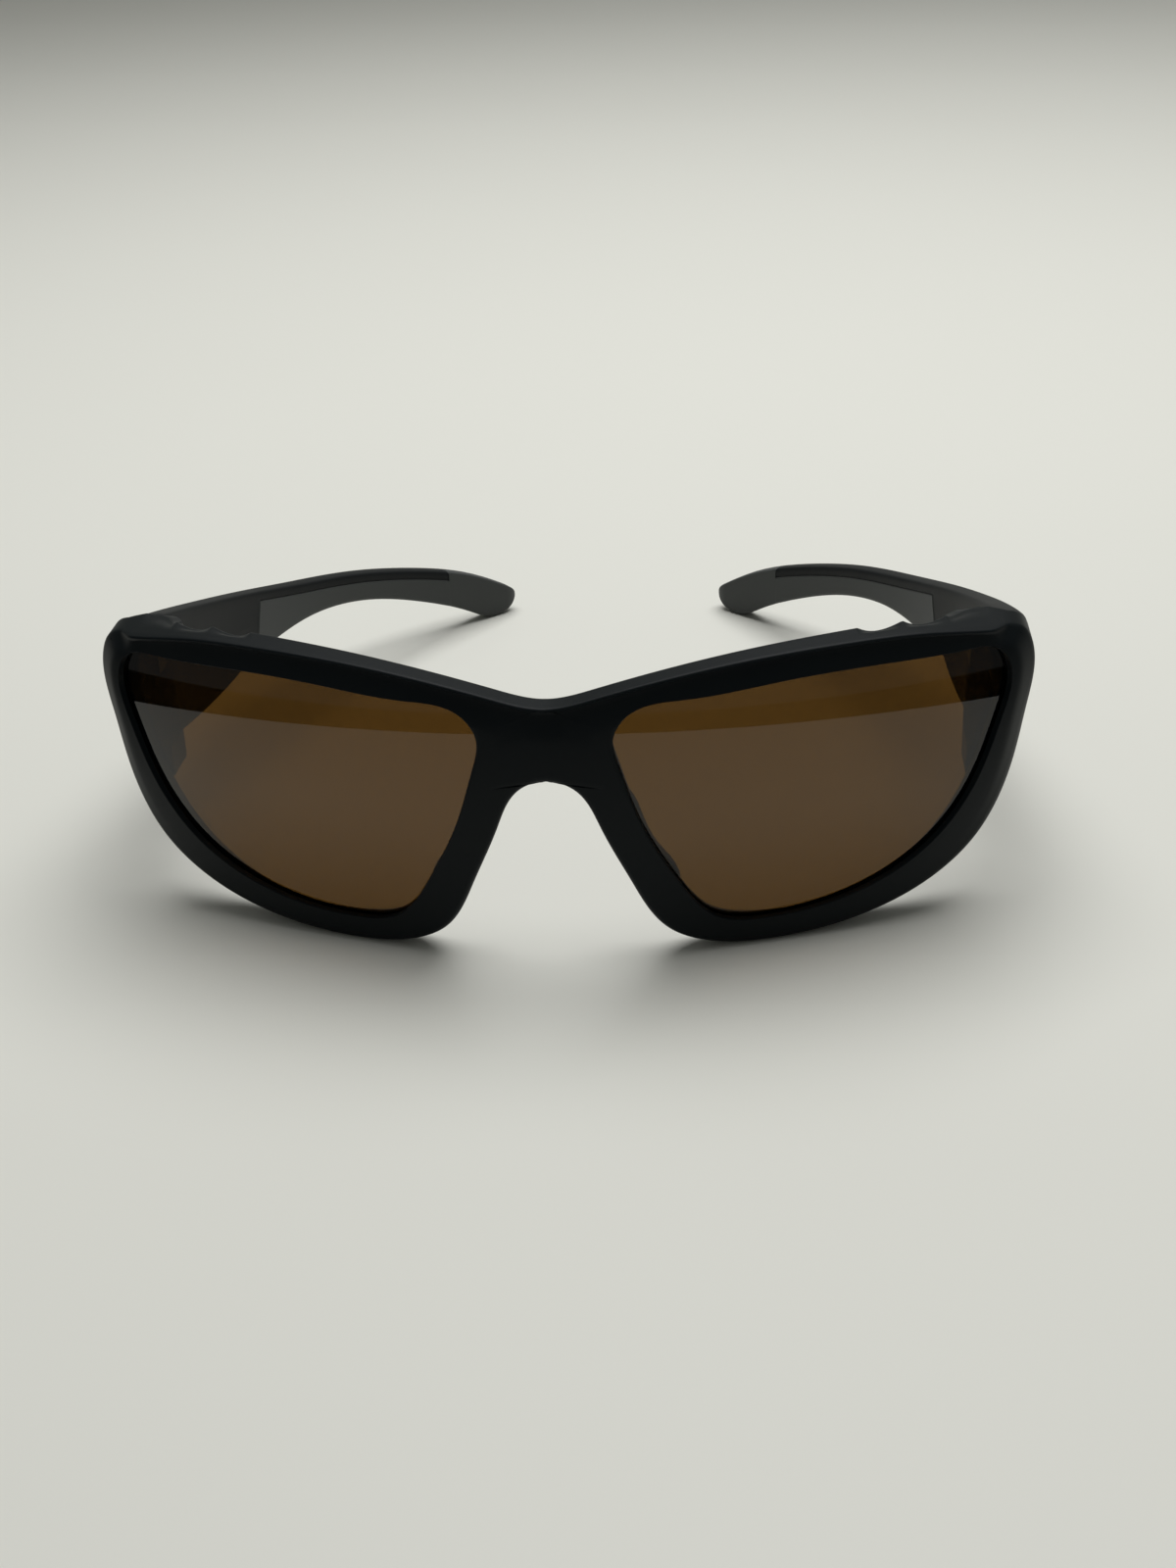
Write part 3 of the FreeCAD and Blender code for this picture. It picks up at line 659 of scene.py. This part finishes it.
def temple_core():
    """The hard temple: a full section to the grip's front edge, then an outer layer with a
    strip along its top, as one ring of six corners that changes shape there."""
    start = GRIP_START * STRETCH
    end = TONGUE_END * STRETCH
    full = np.concatenate([[0, 0.15, 0.5], np.arange(1.5, 49, 1.5), [49.2, 49.7]]) * MM * STRETCH
    full[-1] = start - 0.02 * MM
    thin = np.concatenate([[start + 0.02 * MM], start + np.arange(1.0, 46, 1.5) * MM,
                           [end - 0.5 * MM, end]])
    back = np.concatenate([full, thin])
    is_thin = np.concatenate([np.zeros(len(full)), np.ones(len(thin))])
    top = top_at(back)
    low = lower_at(back)
    half = (ROOT_THICK + (TIP_THICK - ROOT_THICK) * back / REACH) / 2
    layer = 1 - LAYER / half
    inset = np.where(back < 0.1 * MM, 0.12, 0) * MM
    strip_z = top - STRIP
    inner = -1 + inset / half
    bottom = low + inset
    outs = np.stack([1 - inset / half, 1 - inset / half, inner, inner,
                     np.where(is_thin > 0, layer, inner), np.where(is_thin > 0, layer, inner)], 1)
    middle_z = np.where(is_thin > 0, strip_z, (low + top) / 2)
    heights = np.stack([bottom, top - inset, top - inset, strip_z, middle_z, bottom], 1)
    radii = [0.9 * MM, 0.9 * MM, 0.9 * MM, 0.12 * MM, 0.1 * MM, 0.7 * MM]
    return closed_rings(temple_rings(back, outs, heights, radii))


def temple_knuckle():
    """The temple's knuckle: a round about the hinge axis with a web out to the temple."""
    web_x = HINGE_X + 6.0 * MM
    web_y = HINGE_Y + KNUCKLE_WEB
    corners = np.array([[web_x, HINGE_Y + 0.02 * MM], [web_x, web_y], [HINGE_X, web_y]])
    plan = np.vstack([hinge_arc(math.pi / 2, 2 * math.pi, 34), corners])
    return upright_block(plan, *CENTRE_KNUCKLE, 0.3 * MM)


def grip_rings():
    """The soft grip: inside the core's layer and under its strip to the tongue's end, then
    the full section to the round tip, as rings of four corners."""
    start = GRIP_START * STRETCH
    tongue = TONGUE_END * STRETCH
    stop = TIP_END
    bend = np.sin(np.linspace(0, math.pi / 2, 16))
    inner_part = np.concatenate([[start + 0.03 * MM, start + 0.2 * MM],
                                 start + np.arange(1.0, 46, 1.5) * MM,
                                 [tongue - 0.3 * MM, tongue + 0.03 * MM]])
    tip_part = np.concatenate([[tongue + 0.04 * MM, tongue + 0.2 * MM],
                               np.linspace(tongue + 0.8 * MM, stop - 4.5 * MM, 5),
                               stop - 3.6 * MM + 3.58 * MM * bend])
    back = np.concatenate([inner_part, tip_part])
    whole = np.concatenate([np.zeros(len(inner_part)), np.ones(len(tip_part))])
    top = top_at(back)
    low = lower_at(back)
    half = (ROOT_THICK + (TIP_THICK - ROOT_THICK) * back / REACH) / 2
    round_end = np.clip((back - (stop - 1.8 * MM)) / (1.8 * MM), 0, 1)
    squeeze = np.sqrt(np.maximum(1 - round_end ** 2, 0.0004))
    layer = 1 - (LAYER + 0.04 * MM) / half
    inset = np.where(np.abs(back - tongue - 0.04 * MM) < 0.02 * MM, 0.12 * MM, 0)
    inset = np.where(back < start + 0.1 * MM, 0.15 * MM, inset)
    start_inset = np.where(back < start + 0.1 * MM, inset, 0)
    inner = (-1 - 0.1 * MM / half) * squeeze + start_inset / half
    outer = np.where(whole > 0, squeeze - inset / half, layer)
    upper = np.where(whole > 0, top - inset, top - STRIP - 0.04 * MM)
    outs = np.stack([outer, outer, inner, inner], 1)
    heights = np.stack([low + inset, upper, upper, low + start_inset], 1)
    radii = [0.9 * MM, 0.9 * MM, 0.5 * MM, 1.1 * MM]
    return closed_rings(temple_rings(back, outs, heights, radii))


# -------------------------------------------------------------------------- materials

class Value:
    """A shader socket that takes part in Python sums: each operator adds a Math node."""

    def __init__(self, tree, socket):
        self.tree = tree
        self.socket = socket

    def math(self, operation, *others):
        return self.tree.node("Math", {"operation": operation},
                              sockets=dict(enumerate((self,) + others)))

    def __add__(self, other):
        return self.math("ADD", other)

    def __sub__(self, other):
        return self.math("SUBTRACT", other)

    def __mul__(self, other):
        return self.math("MULTIPLY", other)

    def __rsub__(self, other):
        return (self * -1) + other

    __radd__ = __add__
    __rmul__ = __mul__


class Finish:
    """A material under construction, with one method that makes any node."""

    def __init__(self, name):
        self.material = bpy.data.materials.new(name)
        self.material.use_nodes = True
        self.nodes = self.material.node_tree.nodes
        self.links = self.material.node_tree.links
        self.nodes.clear()

    def feed(self, slot, value):
        if isinstance(value, Value):
            self.links.new(value.socket, slot)
        else:
            slot.default_value = value

    def node(self, kind, settings=None, output=0, sockets=None, **named):
        """Make a node: its settings first, then its sockets by number or by name, with _
        for a space."""
        made = self.nodes.new("ShaderNode" + kind)
        for key, value in (settings or {}).items():
            setattr(made, key, value)
        for number, value in (sockets or {}).items():
            self.feed(made.inputs[number], value)
        for name, value in named.items():
            self.feed(made.inputs[name.replace("_", " ")], value)
        return Value(self, made.outputs[output]) if made.outputs else None

    def noise(self, scale, detail=3.0, roughness=0.5):
        place = self.node("TexCoord", output=3)
        return self.node("TexNoise", Vector=place, Scale=scale, Detail=detail, Roughness=roughness)

    def mix(self, share, first, second):
        """A colour between two, by share."""
        return self.node("Mix", {"data_type": "RGBA"}, 2, {0: share, 6: first, 7: second})

    def shade(self, **sockets):
        """The Principled shader and the output."""
        shader = self.node("BsdfPrincipled", **sockets)
        self.node("OutputMaterial", Surface=shader)
        return self.material


def moulded_nylon(name, dark, light, roughness):
    """Matt injection-moulded nylon: a fine spark-eroded grain, faint cloudy shade and a
    slightly polished drift in its roughness."""
    finish = Finish(name)
    grain = finish.noise(5200.0, 2.0, 0.6)
    cloud = finish.noise(55.0, 3.0, 0.55)
    bump = finish.node("Bump", Height=grain, Strength=0.22, Distance=0.00002)
    colour = finish.mix(cloud, dark, light)
    return finish.shade(Base_Color=colour, Roughness=cloud * 0.14 + (roughness - 0.07),
                        Normal=bump, Specular_IOR_Level=0.13)


def soft_rubber(name, dark, light):
    """Soft-touch thermoplastic rubber: dusty, with a fine pebble and slow patches."""
    finish = Finish(name)
    pebble = finish.noise(3600.0, 3.0, 0.65)
    patch = finish.noise(90.0, 4.0, 0.6)
    bump = finish.node("Bump", Height=pebble, Strength=0.3, Distance=0.00003)
    colour = finish.mix(patch, dark, light)
    return finish.shade(Base_Color=colour, Roughness=patch * 0.12 + 0.62, Normal=bump,
                        Sheen_Weight=0.12, Sheen_Roughness=0.5)


def tinted_lens(name):
    """Brown polycarbonate, dyed through: a clear shell whose tint comes from its colour,
    which drifts a little at random, with a hard-coat gloss."""
    finish = Finish(name)
    drift = finish.noise(14.0, 1.0)
    colour = finish.mix(drift, (0.096, 0.0460, 0.0095, 1), (0.082, 0.0420, 0.0105, 1))
    wipe = finish.noise(160.0, 4.0, 0.6)
    return finish.shade(Base_Color=colour, Roughness=wipe * 0.02 + 0.005, IOR=1.48,
                        Transmission_Weight=1.0)


def turned_metal(name, tone, roughness):
    """Turned metal with fine lathe marks along its height and a cloudy oxide."""
    finish = Finish(name)
    marks = finish.noise(2600.0, 2.0, 0.5)
    cloud = finish.noise(700.0, 3.0, 0.5)
    bump = finish.node("Bump", Height=marks, Strength=0.2, Distance=0.00001)
    dark = tuple(0.7 * c for c in tone[:3]) + (1,)
    colour = finish.mix(cloud, dark, tone)
    return finish.shade(Base_Color=colour, Metallic=1.0, Roughness=cloud * 0.2 + roughness,
                        Normal=bump)


FRAME_NYLON = moulded_nylon("frame_nylon", (0.0022, 0.0042, 0.0054, 1),
                            (0.0046, 0.0070, 0.0084, 1), 0.46)
TEMPLE_NYLON = moulded_nylon("temple_nylon", (0.0065, 0.0080, 0.0088, 1),
                             (0.0105, 0.0118, 0.0124, 1), 0.5)
GRIP_RUBBER = soft_rubber("grip_rubber", (0.026, 0.030, 0.029, 1), (0.034, 0.038, 0.036, 1))
PAD_RUBBER = soft_rubber("pad_rubber", (0.010, 0.010, 0.010, 1), (0.016, 0.015, 0.015, 1))
LENS_TINT = tinted_lens("brown_lens")
SCREW_STEEL = turned_metal("screw_steel", (0.10, 0.10, 0.105, 1), 0.35)
INSERT_BRASS = turned_metal("insert_brass", (0.62, 0.44, 0.18, 1), 0.3)


# ---------------------------------------------------------------------------- pieces

def place_piece(name, parts, material, body, slot, *nodes):
    made = make_piece(name, parts, material)
    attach(made, body)
    if nodes:
        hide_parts(*nodes)
    return made


place_piece("front_moulding", front_parts(), FRAME_NYLON, "front", "frame_black", "front_frame")
core_points, core_faces = temple_core()
knuckle_points, knuckle_faces = temple_knuckle()
grip_points, grip_faces = grip_rings()
for side, word in ((1, "left"), (-1, "right")):
    flip = (lambda p: p) if side > 0 else mirrored
    place_piece("lens_shell_" + word, [lens_part(side)], LENS_TINT, "front", "brown_lens",
                "lens_" + word)
    place_piece("pad_soft_" + word, [pad_part(side)], PAD_RUBBER, "front", "pad_rubber",
                "nose_pad_" + word)
    arm = [(flip(core_points), core_faces), (flip(knuckle_points), knuckle_faces)]
    place_piece("temple_arm_" + word, arm, TEMPLE_NYLON, "temple_" + word, "temple_black",
                "temple_" + word)
    place_piece("temple_sleeve_" + word, [(flip(grip_points), grip_faces)],
                GRIP_RUBBER, "temple_" + word, "grip_rubber", "temple_grip_" + word)
    for node, material in (("hinge_screw_", SCREW_STEEL), ("hinge_insert_", INSERT_BRASS)):
        mesh = frame["nodes"][node + word].data
        mesh.materials.clear()
        mesh.materials.append(material)


# ------------------------------------------------------------------------ stage, light

def stage_floor():
    """A pale floor that sweeps up behind: straight, then a quarter of a circle, then up."""
    finish = Finish("floor_paper")
    cloud = finish.noise(3.0, 2.0, 0.5)
    colour = finish.mix(cloud, (0.76, 0.76, 0.70, 1), (0.79, 0.79, 0.73, 1))
    material = finish.shade(Base_Color=colour, Roughness=0.6)
    turn = np.linspace(0, math.pi / 2, 17)
    radius = 0.9
    far = 1.6
    y = np.concatenate([[-3.0, 0.0], far + radius * np.sin(turn), [far + radius]])
    z = np.concatenate([[0.0, 0.0], radius * (1 - np.cos(turn)), [3.0]])
    x = np.array([-3.5, 3.5])
    points = np.stack([np.repeat(x[:, None], len(y), 1), np.repeat(y[None], 2, 0),
                       np.repeat(z[None], 2, 0)], -1)
    made = make_piece("floor", [(points, grid_faces(2, len(y)))], material)
    if made.data.polygons[0].normal.z < 0:
        made.data.flip_normals()
    return made


def soft_light(name, place, target, size, power, colour=(1, 1, 1)):
    lamp = bpy.data.lights.new(name, "AREA")
    lamp.shape = "RECTANGLE"
    lamp.size, lamp.size_y = size
    lamp.energy = power
    lamp.color = colour
    made = bpy.data.objects.new(name, lamp)
    bpy.context.scene.collection.objects.link(made)
    made.location = place
    made.rotation_euler = (Vector(target) - Vector(place)).to_track_quat("-Z", "Y").to_euler()
    return made


def flag_card(name, glow, bottom, top):
    """A card bent round the front of the glasses, which only gloss sees."""
    finish = Finish(name)
    material = finish.shade(Base_Color=(0.0, 0.0, 0.0, 1), Roughness=1.0,
                            Emission_Color=(0.95, 0.97, 0.93, 1), Emission_Strength=glow)
    turn = np.linspace(-1.9, 1.9, 61)
    reach = 166 * MM
    x = reach * np.sin(turn)
    y = FRONT_Y + 10 * MM - reach * np.cos(turn)
    points = np.stack([np.stack([x, y, z + 0 * x], -1) for z in (bottom, top)])
    made = make_piece(name, [(points, grid_faces(*points.shape[:2]))], material)
    for ray in ("camera", "diffuse", "transmission", "volume_scatter", "shadow"):
        setattr(made, "visible_" + ray, False)


def camera():
    """A camera above and in front, looking down a little to the wearer's right."""
    pitch, yaw, roll = (math.radians(angle) for angle in (27.1, -5.64, -2.63))
    ahead = Vector((math.sin(yaw) * math.cos(pitch), math.cos(yaw) * math.cos(pitch),
                    -math.sin(pitch)))
    level = Vector((math.cos(yaw), -math.sin(yaw), 0))
    raised = level.cross(ahead)
    right = level * math.cos(roll) + raised * math.sin(roll)
    up = raised * math.cos(roll) - level * math.sin(roll)
    data = bpy.data.cameras.new("camera")
    data.sensor_width = 36.0
    data.lens = 47.25
    made = bpy.data.objects.new("camera", data)
    turn = Matrix((right, up, -ahead)).transposed().to_4x4()
    made.matrix_world = Matrix.Translation(Vector((31.2, -324.8, 161.5)) * MM) @ turn
    bpy.context.scene.collection.objects.link(made)
    bpy.context.scene.camera = made


stage_floor()
# the dark band across the lenses, and the dim room above it
flag_card("band_card", 0.0, 0.0005, 0.014)
flag_card("room_card", 0.1, 0.014, 0.3)
soft_light("top_light", (0.06, 0.26, 0.85), (0.0, 0.2, 0), (0.85, 0.85), 8.2)
soft_light("back_light", (0.0, 1.9, 1.1), (0, 0, 0.03), (1.6, 0.9), 1.2)
world = bpy.data.worlds.new("room")
world.use_nodes = True
world.node_tree.nodes["Background"].inputs["Color"].default_value = (0.95, 0.97, 0.93, 1)
world.node_tree.nodes["Background"].inputs["Strength"].default_value = 0.14
bpy.context.scene.world = world
camera()
bpy.context.scene.view_settings.view_transform = "Standard"
